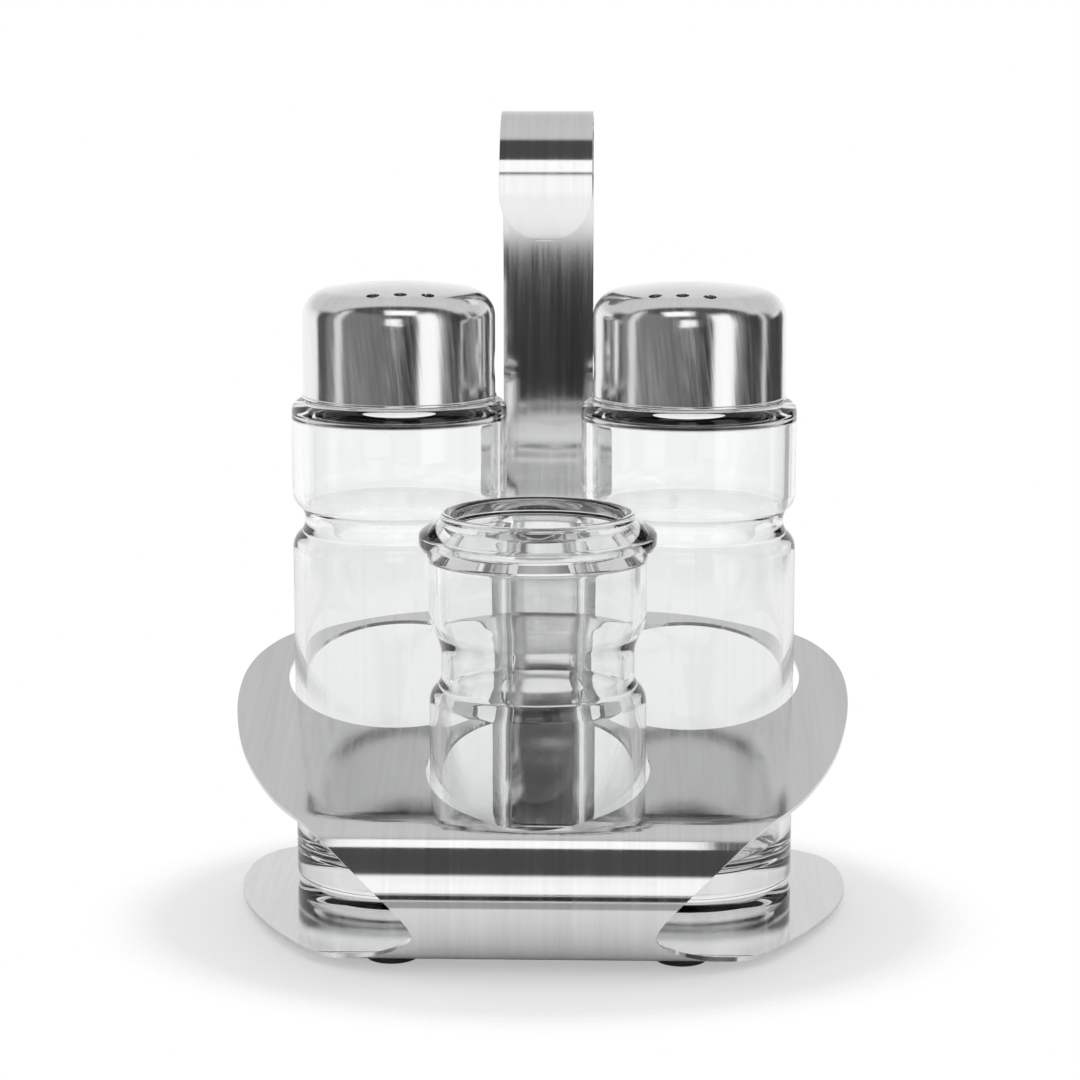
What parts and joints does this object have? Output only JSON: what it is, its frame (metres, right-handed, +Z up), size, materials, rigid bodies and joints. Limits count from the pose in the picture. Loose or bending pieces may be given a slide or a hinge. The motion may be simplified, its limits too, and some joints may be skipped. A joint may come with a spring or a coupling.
{
  "type": "cruet set with two screw-capped shaker jars, an open glass and a bent steel stand",
  "caption": "Steel cruet stand bent from one sheet, holding two glass shaker jars with screw caps and a small open glass, with a curled carrying strip.",
  "frame": {"origin": "the middle of the footprint at the height of the feet's undersides", "axes": "X to the viewer's right along the two jars, Y from the front bend to the carrying strip at the back, Z up"},
  "size_m": [0.1222, 0.0974, 0.1572],
  "materials": {
    "brushed_sheet": "fine straight brushing on a bent stainless sheet",
    "polished_cap": "polished stainless steel",
    "clear_glass": "clear pressed glass",
    "foot_rubber": "matte black rubber",
    "seal_plastic": "milky soft plastic"
  },
  "bodies": {
    "stand": {"stand": "brushed_sheet", "handle": "brushed_sheet", "foot_front_left": "foot_rubber", "foot_front_right": "foot_rubber", "foot_rear_left": "foot_rubber", "foot_rear_right": "foot_rubber"},
    "salt_glass": {"salt_glass": "clear_glass"},
    "salt_seal": {"salt_seal": "seal_plastic"},
    "salt_cap": {"salt_cap": "polished_cap"},
    "pepper_glass": {"pepper_glass": "clear_glass"},
    "pepper_seal": {"pepper_seal": "seal_plastic"},
    "pepper_cap": {"pepper_cap": "polished_cap"},
    "cup": {"cup": "clear_glass"}
  },
  "joints": [
    {"name": "salt_lift", "type": "slide", "parent": "stand", "child": "salt_glass", "axis": [0, 0, 1], "range_m": [0, 0.08]},
    {"name": "pepper_lift", "type": "slide", "parent": "stand", "child": "pepper_glass", "axis": [0, 0, 1], "range_m": [0, 0.08]},
    {"name": "cup_lift", "type": "slide", "parent": "stand", "child": "cup", "axis": [0, 0, 1], "range_m": [0, 0.06]},
    {"name": "salt_seal_rise", "type": "slide", "parent": "salt_glass", "child": "salt_seal", "axis": [0, 0, 1], "range_m": [0, 0.0175]},
    {"name": "salt_cap_turn", "type": "hinge", "parent": "salt_seal", "child": "salt_cap", "pos_m": [-0.02895, 0.01715, 0.1], "axis": [0, 0, 1], "range_deg": [0, 480]},
    {"name": "pepper_seal_rise", "type": "slide", "parent": "pepper_glass", "child": "pepper_seal", "axis": [0, 0, 1], "range_m": [0, 0.0175]},
    {"name": "pepper_cap_turn", "type": "hinge", "parent": "pepper_seal", "child": "pepper_cap", "pos_m": [0.02895, 0.01715, 0.1], "axis": [0, 0, 1], "range_deg": [0, 480]}
  ],
  "couplings": [
    {"joint": "salt_seal_rise", "follows": "salt_cap_turn", "m_per_rad": 0.002069},
    {"joint": "pepper_seal_rise", "follows": "pepper_cap_turn", "m_per_rad": 0.002069}
  ]
}
